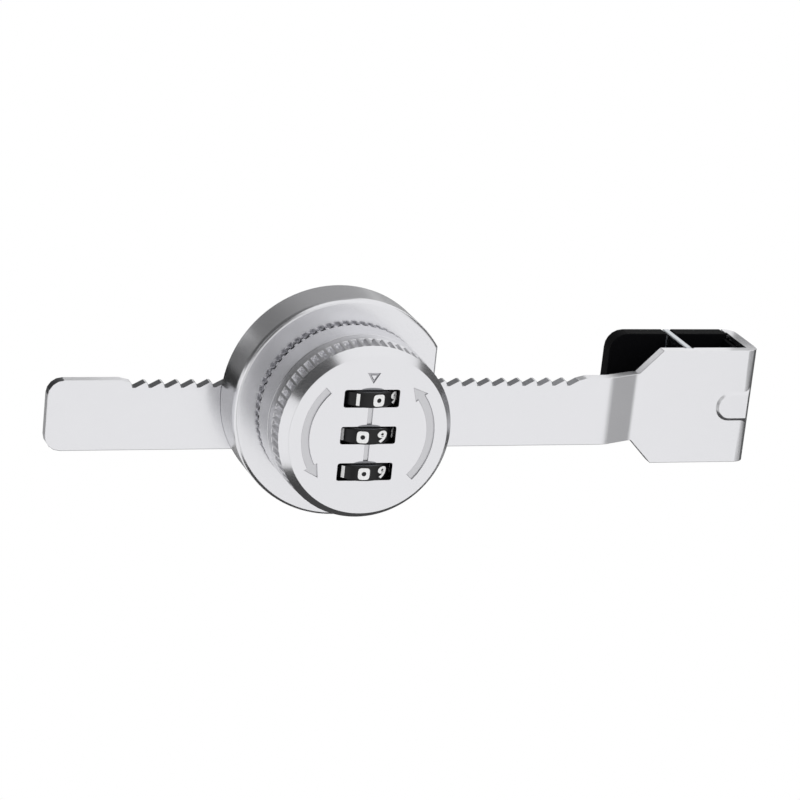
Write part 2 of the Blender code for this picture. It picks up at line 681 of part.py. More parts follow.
def make_dial_base():
    """The rear half of the dial: a plain collar, a hub that turns in the housing, and a floor."""
    edge = DIAL_EDGE
    hub_rear = CAVITY_FRONT
    front = PARTING_Y + edge / 2
    profile = [(0.0, hub_rear), (HUB_RADIUS, hub_rear), (HUB_RADIUS, DIAL_REAR),
               (DIAL_RADIUS - edge, DIAL_REAR), (DIAL_RADIUS, DIAL_REAR - edge),
               (DIAL_RADIUS, front + edge), (DIAL_RADIUS - edge, front), (0.0, front)]
    base = revolve("dial_base", profile, 128)
    cut(base, rib_ring(DIAL_RADIUS, DIAL_REAR - REAR_RIB_LENGTH, DIAL_REAR + OVERCUT / 2))
    cut(base, cavity_cut("wheel_room", front - OVERCUT, DIAL_REAR - FLOOR_WALL))
    for x in (-DIAL_SCREW_X, DIAL_SCREW_X):
        cut(base, prism("shank", circle(SCREW_SHANK_RADIUS + FIT, (x, 0.0), 12), "Y",
                        front - OVERCUT, DIAL_REAR + OVERCUT))
        cut(base, prism("sink", circle(SCREW_HEAD_RADIUS + FIT, (x, 0.0), 20), "Y",
                        DIAL_REAR - SCREW_HEAD_DEPTH - 2 * FIT, DIAL_REAR + OVERCUT))
    return base


def arrow_outline(tail_angle, head_angle):
    """A curved arrow on the dial face, drawn the way the dial turns."""
    direction = 1.0 if head_angle > tail_angle else -1.0
    half = ARROW_WIDTH / 2
    neck = head_angle - direction * math.degrees(ARROW_HEAD_LENGTH / ARROW_RADIUS)
    outer = arc((0.0, 0.0), ARROW_RADIUS + half, tail_angle, neck, 12)
    inner = arc((0.0, 0.0), ARROW_RADIUS - half, neck, tail_angle, 12)
    wide = ARROW_HEAD / 2
    barb = math.radians(neck)
    tip = math.radians(head_angle)
    head = [((ARROW_RADIUS + wide) * math.cos(barb), (ARROW_RADIUS + wide) * math.sin(barb)),
            (ARROW_RADIUS * math.cos(tip), ARROW_RADIUS * math.sin(tip)),
            ((ARROW_RADIUS - wide) * math.cos(barb), (ARROW_RADIUS - wide) * math.sin(barb))]
    return outer + head + inner


def make_dial_shell():
    """The front half of the dial: ribbed rim, windows for the wheels, and the marks on its face."""
    edge = DIAL_EDGE
    rear = PARTING_Y - edge / 2
    knurl_rear = HOUSING_FRONT - KNURL_START
    knurl_front = DIAL_FRONT + DIAL_CHAMFER
    profile = [(0.0, rear), (SHELL_RADIUS - edge, rear), (SHELL_RADIUS, rear - edge),
               (SHELL_RADIUS, knurl_front), (DIAL_FACE_RADIUS, DIAL_FRONT), (0.0, DIAL_FRONT)]
    shell = revolve("dial_shell", profile, 128)
    beyond = OVERCUT
    cut(shell, rib_ring(SHELL_RADIUS, knurl_front, knurl_rear))
    cut(shell, cavity_cut("wheel_room", DIAL_FRONT + FACE_WALL, rear + beyond))
    half_height = WINDOW_HEIGHT / 2
    for _, height in WHEEL_HEIGHTS:
        window = rounded(-WINDOW_WIDTH / 2, WINDOW_WIDTH / 2, height - half_height, height + half_height,
                         WINDOW_CORNER)
        cut(shell, prism("window", window, "Y", DIAL_FRONT - beyond, DIAL_FRONT + FACE_WALL + OVERCUT / 2))
        cut(shell, prism("wheel_relief", circle(WHEEL_RADIUS + SLIDE_FIT, (0.0, WHEEL_AXIS_Y), 48), "Z",
                         height - half_height, height + half_height))
    slot = AXLE_RADIUS + FIT
    axle_slot = [(-slot, rear + beyond), (-slot, WHEEL_AXIS_Y)]
    axle_slot += arc((0.0, WHEEL_AXIS_Y), slot, 180, 360, 8)[1:] + [(slot, rear + beyond)]
    cut(shell, prism("axle_slot", axle_slot, "Z", -AXLE_LENGTH / 2 - FIT, AXLE_LENGTH / 2 + FIT))
    for x in (-DIAL_SCREW_X, DIAL_SCREW_X):
        cut(shell, prism("thread", circle(SCREW_SHANK_RADIUS + FIT, (x, 0.0), 12), "Y",
                         DIAL_REAR - SCREW_HEAD_DEPTH - DIAL_SCREW_LENGTH - 2 * FIT, rear + OVERCUT))
    sunk = (DIAL_FRONT - OVERCUT, DIAL_FRONT + MARK_DEPTH)
    for tail, head in ARROW_SPANS:
        cut(shell, prism("arrow", arrow_outline(tail, head), "Y", *sunk))
    line = INDEX_LINE_WIDTH / 2
    for _, height in WHEEL_HEIGHTS[:2]:
        low = height - WHEEL_PITCH + half_height + INDEX_LINE_GAP
        high = height - half_height - INDEX_LINE_GAP
        cut(shell, box("index_line", (-line, line), sunk, (low, high)))
    triangle = [(-INDEX_HALF, INDEX_TOP_Z), (INDEX_HALF, INDEX_TOP_Z), (0.0, INDEX_TOP_Z - INDEX_DROP)]
    mark = prism("index", triangle, "Y", *sunk)
    middle_z = INDEX_TOP_Z - INDEX_DROP * 0.38
    inner = [(a * 0.5, middle_z + (b - middle_z) * 0.5) for a, b in triangle]
    cut(mark, prism("index_inner", inner, "Y", sunk[0] - OVERCUT, sunk[1] + OVERCUT))
    cut(shell, mark)
    return shell


def make_wheel(label, height):
    half = WHEEL_THICKNESS / 2
    edge = WHEEL_EDGE
    profile = [(0.0, height - half), (WHEEL_RADIUS - edge, height - half), (WHEEL_RADIUS, height - half + edge),
               (WHEEL_RADIUS, height + half - edge), (WHEEL_RADIUS - edge, height + half), (0.0, height + half)]
    wheel = revolve("wheel_" + label, profile, 40, (0.0, WHEEL_AXIS_Y), "Z")
    hole = circle(AXLE_RADIUS + FIT, (0.0, WHEEL_AXIS_Y), 16)
    return cut(wheel, prism("bore", hole, "Z", height - OVERCUT, height + OVERCUT))


def make_sleeve(label, height):
    """The code sleeve under a number wheel: ten flats for the detent and one gate."""
    top = height - WHEEL_THICKNESS / 2 - FIT
    low = top - SLEEVE_HEIGHT
    corner = SLEEVE_ACROSS / math.cos(math.pi / WHEEL_DIGITS)
    through = (low - OVERCUT, top + OVERCUT)
    gate_front = WHEEL_AXIS_Y - SLEEVE_ACROSS
    sleeve = prism("code_sleeve_" + label, circle(corner, (0.0, WHEEL_AXIS_Y), WHEEL_DIGITS), "Z", low, top)
    cut(sleeve, prism("bore", circle(AXLE_RADIUS + FIT, (0.0, WHEEL_AXIS_Y), 16), "Z", *through))
    gate = (gate_front - OVERCUT, gate_front + GATE_DEPTH)
    return cut(sleeve, box("gate", (-GATE_WIDTH / 2, GATE_WIDTH / 2), gate, through))


def make_axle():
    half = AXLE_LENGTH / 2
    edge = AXLE_EDGE
    profile = [(0.0, -half), (AXLE_RADIUS - edge, -half), (AXLE_RADIUS, -half + edge),
               (AXLE_RADIUS, half - edge), (AXLE_RADIUS - edge, half), (0.0, half)]
    return revolve("wheel_axle", profile, 16, (0.0, WHEEL_AXIS_Y), "Z")


def make_detent_spring():
    """One sheet behind the wheels with a finger that reaches to each sleeve."""
    floor = DIAL_REAR - FLOOR_WALL
    rear = floor - FIT
    front = rear - SPRING_SHEET
    tip = WHEEL_AXIS_Y + SLEEVE_ACROSS / math.cos(math.pi / WHEEL_DIGITS) + FIT
    width = (-SPRING_HALF_WIDTH, SPRING_HALF_WIDTH)
    spring = box("detent_spring", width, (front, rear), (FIT - CAVITY_HALF_Z, CAVITY_HALF_Z - FIT))
    for _, height in WHEEL_HEIGHTS:
        middle = height - WHEEL_THICKNESS / 2 - FIT - SLEEVE_HEIGHT / 2
        side = -FINGER_SIDE
        finger = [(side, front + SPRING_SHEET / 2), (side, tip), (FINGER_REACH, tip),
                  (FINGER_REACH, tip + SPRING_SHEET), (side + SPRING_SHEET, tip + SPRING_SHEET),
                  (side + SPRING_SHEET, front + SPRING_SHEET / 2)]
        join(spring, prism("finger", finger, "Z", middle - FINGER_HALF_HEIGHT, middle + FINGER_HALF_HEIGHT))
    return spring


def finish_frame():
    """Put the origin on the hook's inner face and scale the meshes to metres."""
    origin = Vector((JOG_START_X + JOG_LENGTH + ORIGIN_FROM_JOG, HOOK_PLATE_BACK, BAR_CENTRE_Z))
    for item in bpy.context.scene.objects:
        item.data.transform(Matrix.Scale(METRES_PER_MM, 4) @ Matrix.Translation(-origin))


def build():
    clear_scene()
    make_bar()
    make_liner()
    make_stop()
    make_housing()
    make_cover()
    for number, (x, z) in enumerate(cover_screw_spots(), 1):
        make_screw("cover_screw_%d" % number, x, z, COVER_DEPTH, COVER_SCREW_LENGTH, -1)
    make_pawl()
    make_pawl_spring()
    make_retainer()
    make_cam()
    make_dial_base()
    make_dial_shell()
    for number, x in enumerate((-DIAL_SCREW_X, DIAL_SCREW_X), 1):
        make_screw("dial_screw_%d" % number, x, 0.0, DIAL_REAR - FIT, DIAL_SCREW_LENGTH, -1)
    make_axle()
    make_detent_spring()
    for label, height in WHEEL_HEIGHTS:
        make_wheel(label, height)
        make_sleeve(label, height)
    finish_frame()


build()
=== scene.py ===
# Looks of the sliding door combination lock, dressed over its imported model.
# X runs along the bar towards the hook, the dial faces -Y and Z is up, all in metres.
import json
import math
import bpy
import bmesh
from mathutils import Matrix, Vector


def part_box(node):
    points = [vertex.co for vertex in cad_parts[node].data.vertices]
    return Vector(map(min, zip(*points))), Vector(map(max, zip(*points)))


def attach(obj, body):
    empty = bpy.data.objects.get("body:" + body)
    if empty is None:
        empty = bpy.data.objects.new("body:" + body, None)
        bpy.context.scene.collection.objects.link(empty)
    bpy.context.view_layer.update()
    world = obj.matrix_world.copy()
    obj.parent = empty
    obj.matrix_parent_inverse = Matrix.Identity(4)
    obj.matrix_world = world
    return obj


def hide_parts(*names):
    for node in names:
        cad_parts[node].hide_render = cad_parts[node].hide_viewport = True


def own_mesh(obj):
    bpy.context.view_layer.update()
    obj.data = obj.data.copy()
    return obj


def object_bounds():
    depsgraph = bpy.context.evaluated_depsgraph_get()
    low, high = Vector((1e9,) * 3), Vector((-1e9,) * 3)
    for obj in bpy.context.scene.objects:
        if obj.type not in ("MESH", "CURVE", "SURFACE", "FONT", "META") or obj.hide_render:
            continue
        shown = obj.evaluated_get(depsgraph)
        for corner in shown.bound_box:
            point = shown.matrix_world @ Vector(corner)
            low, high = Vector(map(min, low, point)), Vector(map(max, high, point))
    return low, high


mm = 0.001
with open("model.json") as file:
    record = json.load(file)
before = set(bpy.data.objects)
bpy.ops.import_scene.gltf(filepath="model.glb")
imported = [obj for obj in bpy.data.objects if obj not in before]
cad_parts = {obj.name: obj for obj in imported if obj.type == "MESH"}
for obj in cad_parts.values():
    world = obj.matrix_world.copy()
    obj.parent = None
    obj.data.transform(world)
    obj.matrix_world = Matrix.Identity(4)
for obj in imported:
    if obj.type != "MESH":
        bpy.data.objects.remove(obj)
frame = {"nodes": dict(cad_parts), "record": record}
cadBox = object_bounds()
nodes = frame["nodes"]
bodyOf = {}
for bodyName, members in frame["record"]["behaviour"]["bodies"].items():
    for member in members:
        bodyOf[member] = bodyName
print("frame loaded:", len(nodes), "nodes")


# Camera: a long lens from the upper left, tilted a little, as the photograph was taken
cameraView = {
    "place": (-262.68 * mm, -565.95 * mm, 195.99 * mm),
    "turnRight": 20.278,  # degrees
    "lookDown": 17.897,
    "roll": 6.094,
    "lens": 145.65,  # mm
    "sensor": 36.0,  # mm
}


def makeCamera():
    turn = math.radians(cameraView["turnRight"])
    down = math.radians(cameraView["lookDown"])
    roll = math.radians(cameraView["roll"])
    forward = Vector((math.sin(turn) * math.cos(down), math.cos(turn) * math.cos(down), -math.sin(down)))
    level = Vector((math.cos(turn), -math.sin(turn), 0.0))
    above = level.cross(forward)
    right = level * math.cos(roll) + above * math.sin(roll)
    up = above * math.cos(roll) - level * math.sin(roll)
    lens = bpy.data.cameras.new("camera")
    lens.lens = cameraView["lens"]
    lens.sensor_width = cameraView["sensor"]
    lens.clip_start = 0.01
    lens.clip_end = 50.0
    camera = bpy.data.objects.new("camera", lens)
    facing = Matrix((right, up, -forward)).transposed().to_4x4()
    camera.matrix_world = Matrix.Translation(cameraView["place"]) @ facing
    bpy.context.scene.collection.objects.link(camera)
    bpy.context.scene.camera = camera


makeCamera()
print("camera placed")


# Colours and nodes
def toLinear(hexColour):
    channels = []
    for i in (1, 3, 5):
        value = int(hexColour[i:i + 2], 16) / 255.0
        channels.append(value / 12.92 if value <= 0.04045 else ((value + 0.055) / 1.055) ** 2.4)
    return (channels[0], channels[1], channels[2], 1.0)


def addNode(tree, kind, settings=None, inputs=None):
    # settings are the node's own properties; an input is a plain value or another node's output socket
    node = tree.nodes.new(kind)
    for name, value in (settings or {}).items():
        setattr(node, name, value)
    for name, value in (inputs or {}).items():
        if isinstance(value, bpy.types.NodeSocket):
            tree.links.new(value, node.inputs[name])
        else:
            node.inputs[name].default_value = value
    return node


def newMaterial(name):
    material = bpy.data.materials.new(name)
    material.use_nodes = True
    material.node_tree.nodes.clear()
    return material, material.node_tree


def closeMaterial(tree, shader):
    addNode(tree, "ShaderNodeOutputMaterial", None, {"Surface": shader.outputs[0]})


def metalMaterial(name, hexColour, roughness, spread, grain, stretch=(1.0, 1.0, 1.0), bump=0.02):
    # grain is the size in metres of the finest marks, and stretch drags them along an axis
    material, tree = newMaterial(name)
    place = addNode(tree, "ShaderNodeTexCoord").outputs["Object"]
    laid = addNode(tree, "ShaderNodeMapping", {"vector_type": "POINT"}, {"Vector": place, "Scale": stretch})
    fine = addNode(tree, "ShaderNodeTexNoise", None,
                   {"Vector": laid.outputs[0], "Scale": 1.0 / grain, "Detail": 3.0, "Roughness": 0.6})
    broad = addNode(tree, "ShaderNodeTexNoise", None,
                    {"Vector": place, "Scale": 1.0 / (grain * 40), "Detail": 2.0})
    mixed = addNode(tree, "ShaderNodeMath", {"operation": "MULTIPLY_ADD"},
                    {0: broad.outputs["Fac"], 1: 0.5, 2: fine.outputs["Fac"]})
    rough = addNode(tree, "ShaderNodeMapRange", None,
                    {"Value": mixed.outputs[0], "From Min": 0.45, "From Max": 1.05,
                     "To Min": roughness - spread, "To Max": roughness + spread})
    marks = addNode(tree, "ShaderNodeBump", None,
                    {"Strength": bump, "Distance": 0.05 * mm, "Height": fine.outputs["Fac"]})
    shader = addNode(tree, "ShaderNodeBsdfPrincipled", None,
                     {"Base Color": toLinear(hexColour), "Metallic": 1.0,
                      "Roughness": rough.outputs["Result"], "Normal": marks.outputs[0]})
    closeMaterial(tree, shader)
    return material


def darkMaterial(name, hexColour, roughness, shine, grain, bump):
    material, tree = newMaterial(name)
    place = addNode(tree, "ShaderNodeTexCoord").outputs["Object"]
    fine = addNode(tree, "ShaderNodeTexNoise", None, {"Vector": place, "Scale": 1.0 / grain, "Detail": 4.0})
    rough = addNode(tree, "ShaderNodeMapRange", None,
                    {"Value": fine.outputs["Fac"], "From Min": 0.3, "From Max": 0.7,
                     "To Min": roughness - 0.06, "To Max": roughness + 0.06})
    marks = addNode(tree, "ShaderNodeBump", None,
                    {"Strength": bump, "Distance": 0.05 * mm, "Height": fine.outputs["Fac"]})
    shader = addNode(tree, "ShaderNodeBsdfPrincipled", None,
                     {"Base Color": toLinear(hexColour), "Roughness": rough.outputs["Result"],
                      "Specular IOR Level": shine, "Normal": marks.outputs[0]})
    closeMaterial(tree, shader)
    return material


# Nickel plate over rolled steel sheet, tumbled satin: soft even reflections, faint rolling grain along X
sheetNickel = metalMaterial("satin_nickel_sheet", "#E6E6E9", 0.24, 0.03, 0.30 * mm, (0.12, 1.0, 1.0), 0.006)
# Nickel plate over die-cast zinc, satin: fine even grain without a direction
castNickel = metalMaterial("satin_nickel_casting", "#E4E4E7", 0.22, 0.03, 0.25 * mm, bump=0.006)
# Bright zinc plate on turned and stamped steel: bluish and a little brighter
zincSteel = metalMaterial("bright_zinc_steel", "#CFD3D8", 0.22, 0.05, 0.20 * mm)
# Sintered steel of the pawl and cam: dull grey with a dry grain
sinteredSteel = metalMaterial("sintered_steel", "#8F9296", 0.45, 0.08, 0.15 * mm, bump=0.05)
# Turned brass of the code sleeves
turnedBrass = metalMaterial("turned_brass", "#D2B36A", 0.28, 0.05, 0.20 * mm)
# Spring steel sheet and wire, blued dark by its temper
springSteel = metalMaterial("spring_steel", "#7C7F85", 0.32, 0.05, 0.20 * mm)
# Etched nickel on the floors of the sunk marks: duller and greyer than the face around them
etchedNickel = metalMaterial("etched_nickel", "#CECED1", 0.34, 0.05, 0.15 * mm, bump=0.02)
# The same in the index triangle, which reads a shade darker
etchedIndex = metalMaterial("etched_nickel_index", "#B8B8BC", 0.34, 0.05, 0.15 * mm, bump=0.02)
# Painted shade on the collar's rear ribs next to the body, standing in for the dark gap between dial and
# body
ribShade = metalMaterial("painted_shade_ribs", "#C0C0C4", 0.38, 0.05, 0.15 * mm, bump=0.03)
# Sheared steel edge of the teeth and the bar's upper corner: dark and dry beside the plated face
shearedSteel = metalMaterial("sheared_steel_edge", "#66676A", 0.36, 0.06, 0.12 * mm, bump=0.04)
# The same, half as dark, on the teeth right of the dial
shearRightOfDial = metalMaterial("sheared_edge_right_of_dial", "#A2A3A7", 0.34, 0.06, 0.12 * mm, bump=0.04)
# Painted reflection of each wheel on the face above its window: a dull grey half moon
wheelReflectionNickel = metalMaterial("painted_wheel_reflection", "#929397", 0.36, 0.05, 0.15 * mm, bump=0.02)
# Bare zinc on the flat sides of the number wheels: grey, with a soft shine
bareZinc = metalMaterial("bare_zinc", "#85878B", 0.42, 0.05, 0.20 * mm)
# Moulded black rubber of the hook liner: matt, with almost no shine
blackRubber = darkMaterial("moulded_black_rubber", "#08080A", 0.62, 0.05, 0.35 * mm, 0.05)
# Black acetal of the number wheels: smooth with a low gloss
blackAcetal = darkMaterial("black_acetal", "#0C0C0E", 0.34, 0.35, 0.30 * mm, 0.01)
# Black painted shade on the walls deep inside the windows
windowShadeBlack = darkMaterial("painted_shade_window_walls", "#0C0C0D", 0.50, 0.12, 0.30 * mm, 0.02)
# Pad-printed white ink of the digits: flat and even
whiteInk = darkMaterial("white_pad_print", "#F2F2F2", 0.55, 0.25, 0.30 * mm, 0.0)
print("materials made")


# Pieces
def addPiece(name, shape, body, materials, replaced=()):
    mesh = bpy.data.meshes.new(name)
    shape.to_mesh(mesh)
    shape.free()
    piece = bpy.data.objects.new(name, mesh)
    bpy.context.scene.collection.objects.link(piece)
    for material in materials:
        mesh.materials.append(material)
    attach(piece, body)
    if replaced:
        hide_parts(*replaced)
    return piece


def copyOfNode(nodeName):
    # the node's own triangles, welded, with flat stretches made single faces again
    weld = 0.002 * mm
    flatWithin = math.radians(0.6)
    shape = bmesh.new()
    shape.from_mesh(nodes[nodeName].data)
    bmesh.ops.remove_doubles(shape, verts=shape.verts, dist=weld)
    bmesh.ops.dissolve_degenerate(shape, edges=shape.edges, dist=weld)
    bmesh.ops.dissolve_limit(shape, angle_limit=flatWithin, verts=shape.verts, edges=shape.edges)
    bmesh.ops.recalc_face_normals(shape, faces=shape.faces)
    return shape


def shadeByAngle(piece, degrees=32.0):
    for face in piece.data.polygons:
        face.use_smooth = True
    piece.data.set_sharp_from_angle(angle=math.radians(degrees))


def softenEdges(piece, width, degrees=32.0, segments=2):
    bevel = piece.modifiers.new("soft_edges", "BEVEL")
    bevel.width = width
    bevel.segments = segments
    bevel.limit_method = "ANGLE"
    bevel.angle_limit = math.radians(degrees)
    bevel.use_clamp_overlap = False
    bevel.harden_normals = True
    # large flat faces keep their own direction, so that they mirror evenly
    even = piece.modifiers.new("even_faces", "WEIGHTED_NORMAL")
    even.mode = "FACE_AREA"
    even.weight = 80
    even.keep_sharp = True


dressedNodes = {
    # node: piece name, material, slot, width of its softened edges
    "ratchet_bar": ("toothed_bar", sheetNickel, "plated_steel", 0.11 * mm),
    "door_stop": ("stop_strip", zincSteel, "plated_steel", 0.20 * mm),
    "hook_liner": ("liner_boot", blackRubber, "black_rubber", 0.15 * mm),
    "housing": ("lock_body", castNickel, "plated_zinc", 0.12 * mm),
    "rear_cover": ("body_cover", castNickel, "plated_zinc", 0.12 * mm),
    "dial_base": ("dial_collar", castNickel, "plated_zinc", 0.08 * mm),
    "dial_shell": ("dial_front", castNickel, "plated_zinc", 0.07 * mm),
}


def makeDressedNodes():
    made = {}
    for nodeName, (pieceName, material, slot, width) in dressedNodes.items():
        piece = addPiece(pieceName, copyOfNode(nodeName), bodyOf[nodeName], [material], [nodeName])
        shadeByAngle(piece)
        softenEdges(piece, width)
        made[nodeName] = piece
    return made


pieces = makeDressedNodes()
print("main pieces made")


# The bar's cut edges and the body's wider front rounding
bar = {
    "toothFrom": -110.0 * mm,
    "toothTo": -15.0 * mm,
    "toothLow": 5.3 * mm,
    "toothHigh": 6.4 * mm,
    "cornerTo": -122.0 * mm,
    "cornerLow": 4.0 * mm,
    "edgeRises": 0.25,  # a cut edge's normal points up by more than this
    "edgeFaces": 0.3,  # and to front or rear by less than this
    "cornerLeans": 0.1,  # the corner's also points left by more than this
}
bodyRounding = {
    "depth": 0.74 * mm,
    "deeper": 1.8,
}

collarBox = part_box("dial_base")
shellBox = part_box("dial_shell")
dialMiddle = (collarBox[0] + collarBox[1]) / 2
dialRadius = (collarBox[1].x - collarBox[0].x) / 2


def finishBar():
    piece = pieces["ratchet_bar"]
    piece.data.materials.append(shearedSteel)
    piece.data.materials.append(shearRightOfDial)
    for face in piece.data.polygons:
        spot = face.center
        cutEdge = face.normal.z > bar["edgeRises"] and abs(face.normal.y) < bar["edgeFaces"]
        tooth = bar["toothFrom"] < spot.x < bar["toothTo"] and bar["toothLow"] < spot.z < bar["toothHigh"]
        corner = spot.x < bar["cornerTo"] and spot.z > bar["cornerLow"]
        leftEdge = corner and face.normal.x < -bar["cornerLeans"]
        if cutEdge and (tooth or leftEdge):
            # dark left of the dial, half as dark right of it
            face.material_index = 1 if spot.x < dialMiddle.x else 2


def deepenBodyRounding():
    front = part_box("housing")[0].y
    for vert in pieces["housing"].data.vertices:
        behind = vert.co.y - front
        if behind < bodyRounding["depth"]:
            vert.co.y = front + behind * bodyRounding["deeper"]


finishBar()
deepenBodyRounding()
print("bar and body finished")


# The dial: its plain band flares to the collar and its marks have their own finishes; its rear ribs and
# window walls carry painted shade, and a painted reflection of each wheel lies above its window
dial = {
    "bandAhead": 2.7 * mm,  # how far in front of the seam the flare begins
    "bandBehind": 1.0 * mm,
    "bandInside": 0.6 * mm,
    "bandFlare": 0.04,  # how much the radius falls over each mm to the front
    "rearRibs": 1.45 * mm,
    "rearRibsInside": 1.5 * mm,
    "markDepth": 0.3 * mm,
    "markSlack": 0.02 * mm,
    "marksInside": 2.0 * mm,  # how far in from the dial's edge the marks lie at least
    "triangleHalfWidth": 1.4 * mm,
    "triangleFrom": 10.0 * mm,
    "windowEnd": (4.8 * mm, 5.25 * mm),  # where the rounded ends of a window lie, from the middle
    "windowWiden": 0.16 * mm,  # how much further out each end is than in the solid
    "windowHalfWidth": 5.5 * mm,
    "windowHalfHeight": 9.0 * mm,
    "shadeDepth": 0.35 * mm,
    "reflectionHalfWidth": 2.2 * mm,
    "reflectionHeight": 0.42 * mm,
    "reflectionThickness": 0.02 * mm,
    "reflectionSunk": 0.01 * mm,
    "reflectionGap": 0.02 * mm,
    "reflectionSteps": 16,
    "windowTops": (8.9 * mm, 1.7 * mm, -5.5 * mm),
}


def aroundDial(spot):
    # distance from the dial's axis
    return math.hypot(spot.x - dialMiddle.x, spot.z - dialMiddle.z)


def flareBand():
    # the seam's two small chamfers are filled and the front's plain band widens to meet the collar
    seam = shellBox[1].y
    for nodeName in ("dial_shell", "dial_base"):
        for vert in pieces[nodeName].data.vertices:
            out = aroundDial(vert.co)
            ahead = seam - vert.co.y
            onBand = -dial["bandBehind"] <= ahead <= dial["bandAhead"]
            if out < dialRadius - dial["bandInside"] or not onBand:
                continue
            grown = (dialRadius - max(ahead, 0.0) * dial["bandFlare"]) / out
            vert.co.x = dialMiddle.x + (vert.co.x - dialMiddle.x) * grown
            vert.co.z = dialMiddle.z + (vert.co.z - dialMiddle.z) * grown


def widenWindows():
    for vert in pieces["dial_shell"].data.vertices:
        side = vert.co.x - dialMiddle.x
        atEnd = dial["windowEnd"][0] < abs(side) < dial["windowEnd"][1]
        if atEnd and abs(vert.co.z - dialMiddle.z) < dial["windowHalfHeight"]:
            vert.co.x += math.copysign(dial["windowWiden"], side)


def finishDialFront():
    front = pieces["dial_shell"]
    for material in (windowShadeBlack, etchedNickel, etchedIndex, ribShade):
        front.data.materials.append(material)
    slack = dial["markSlack"]
    for face in front.data.polygons:
        spot = face.center
        side = abs(spot.x - dialMiddle.x)
        inside = side < dial["windowHalfWidth"] and abs(spot.z - dialMiddle.z) < dial["windowHalfHeight"]
        deep = spot.y - shellBox[0].y
        sunk = slack < deep < dial["markDepth"] + slack
        # painted shade: the walls deep inside each window are black
        if inside and abs(face.normal.y) < 0.5 and deep > dial["shadeDepth"]:
            face.material_index = 1
        elif sunk and aroundDial(spot) < dialRadius - dial["marksInside"]:
            triangle = side < dial["triangleHalfWidth"] and spot.z - dialMiddle.z > dial["triangleFrom"]
            face.material_index = 3 if triangle else 2


def finishDialCollar():
    collar = pieces["dial_base"]
    collar.data.materials.append(ribShade)
    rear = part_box("housing")[0].y
    for face in collar.data.polygons:
        ahead = rear - face.center.y
        # painted shade on the ribs next to the body
        if ahead < dial["rearRibs"] and aroundDial(face.center) > dialRadius - dial["rearRibsInside"]:
            face.material_index = 1


def makeScallops():
    # a thin half moon of painted reflection on the face above each window
    behind = shellBox[0].y + dial["reflectionSunk"]
    thick = dial["reflectionSunk"] + dial["reflectionThickness"]
    for number, top in enumerate(dial["windowTops"]):
        shape = bmesh.new()
        level = dialMiddle.z + top + dial["reflectionGap"]
        corners = []
        for i in range(dial["reflectionSteps"] + 1):
            angle = math.pi * i / dial["reflectionSteps"]
            x = dialMiddle.x + dial["reflectionHalfWidth"] * math.cos(angle)
            z = level + dial["reflectionHeight"] * math.sin(angle)
            corners.append(shape.verts.new((x, behind, z)))
        moon = shape.faces.new(corners)
        grown = bmesh.ops.extrude_face_region(shape, geom=[moon])
        moved = [item for item in grown["geom"] if isinstance(item, bmesh.types.BMVert)]
        bmesh.ops.translate(shape, vec=(0, -thick, 0), verts=moved)
        bmesh.ops.recalc_face_normals(shape, faces=shape.faces)
        addPiece("scallop_%d" % (number + 1), shape, bodyOf["dial_shell"], [wheelReflectionNickel])


flareBand()
widenWindows()
makeScallops()
finishDialFront()
finishDialCollar()
print("dial finished")


# Number wheels with their digits
wheels = {
    "digitHeight": 2.3 * mm,
    "digitWidth": 2.25 * mm,
    "oneWidth": 0.65 * mm,
    "zeroWidth": 2.25 * mm,
    "zeroHole": 0.9 * mm,
    "zeroSquareness": 4,  # 2 is an ellipse, more is squarer
    "zeroSteps": 40,
    "digitThickness": 0.05 * mm,
    "digitSunk": 0.2,  # the share of the thickness that lies under the rim
    "bolder": 0.035,  # what the typed digits' strokes gain all round, as a share of the letter's size
    "edge": 0.25 * mm,
    "edgeSoftened": 0.05 * mm,
    "bore": 1.65 * mm,
    "steps": 96,
    # where the 0 of each wheel stands, in degrees from the front towards +X
    "zeroAt": {"wheel_top": 9.3, "wheel_middle": -12.7, "wheel_bottom": -4.3},
}


def typedDigit(text, width, height):
    # a digit of the plain font, 1 thick, stretched to its size
    letter = bpy.data.curves.new("digit", "FONT")
    letter.body = text
    letter.size = 1.0
    letter.extrude = 0.5
    letter.bevel_depth = wheels["bolder"]
    letter.bevel_resolution = 0
    holder = bpy.data.objects.new("digit", letter)
    bpy.context.scene.collection.objects.link(holder)
    bpy.context.view_layer.update()
    mesh = bpy.data.meshes.new_from_object(holder.evaluated_get(bpy.context.evaluated_depsgraph_get()))
    bpy.data.objects.remove(holder, do_unlink=True)
    shape = bmesh.new()
    shape.from_mesh(mesh)
    bpy.data.meshes.remove(mesh)
    bmesh.ops.remove_doubles(shape, verts=shape.verts, dist=0.0005)
    xs = [vert.co.x for vert in shape.verts]
    ys = [vert.co.y for vert in shape.verts]
    middleX, middleY = (min(xs) + max(xs)) / 2, (min(ys) + max(ys)) / 2
    for vert in shape.verts:
        vert.co.x = (vert.co.x - middleX) * width / (max(xs) - min(xs))
        vert.co.y = (vert.co.y - middleY) * height / (max(ys) - min(ys))
    return shape


def barDigit(width, height):
    # the 1 is a plain bar
    shape = bmesh.new()
    bmesh.ops.create_cube(shape, size=1.0)
    bmesh.ops.scale(shape, vec=(width, height, 1.0), verts=shape.verts)
    return shape


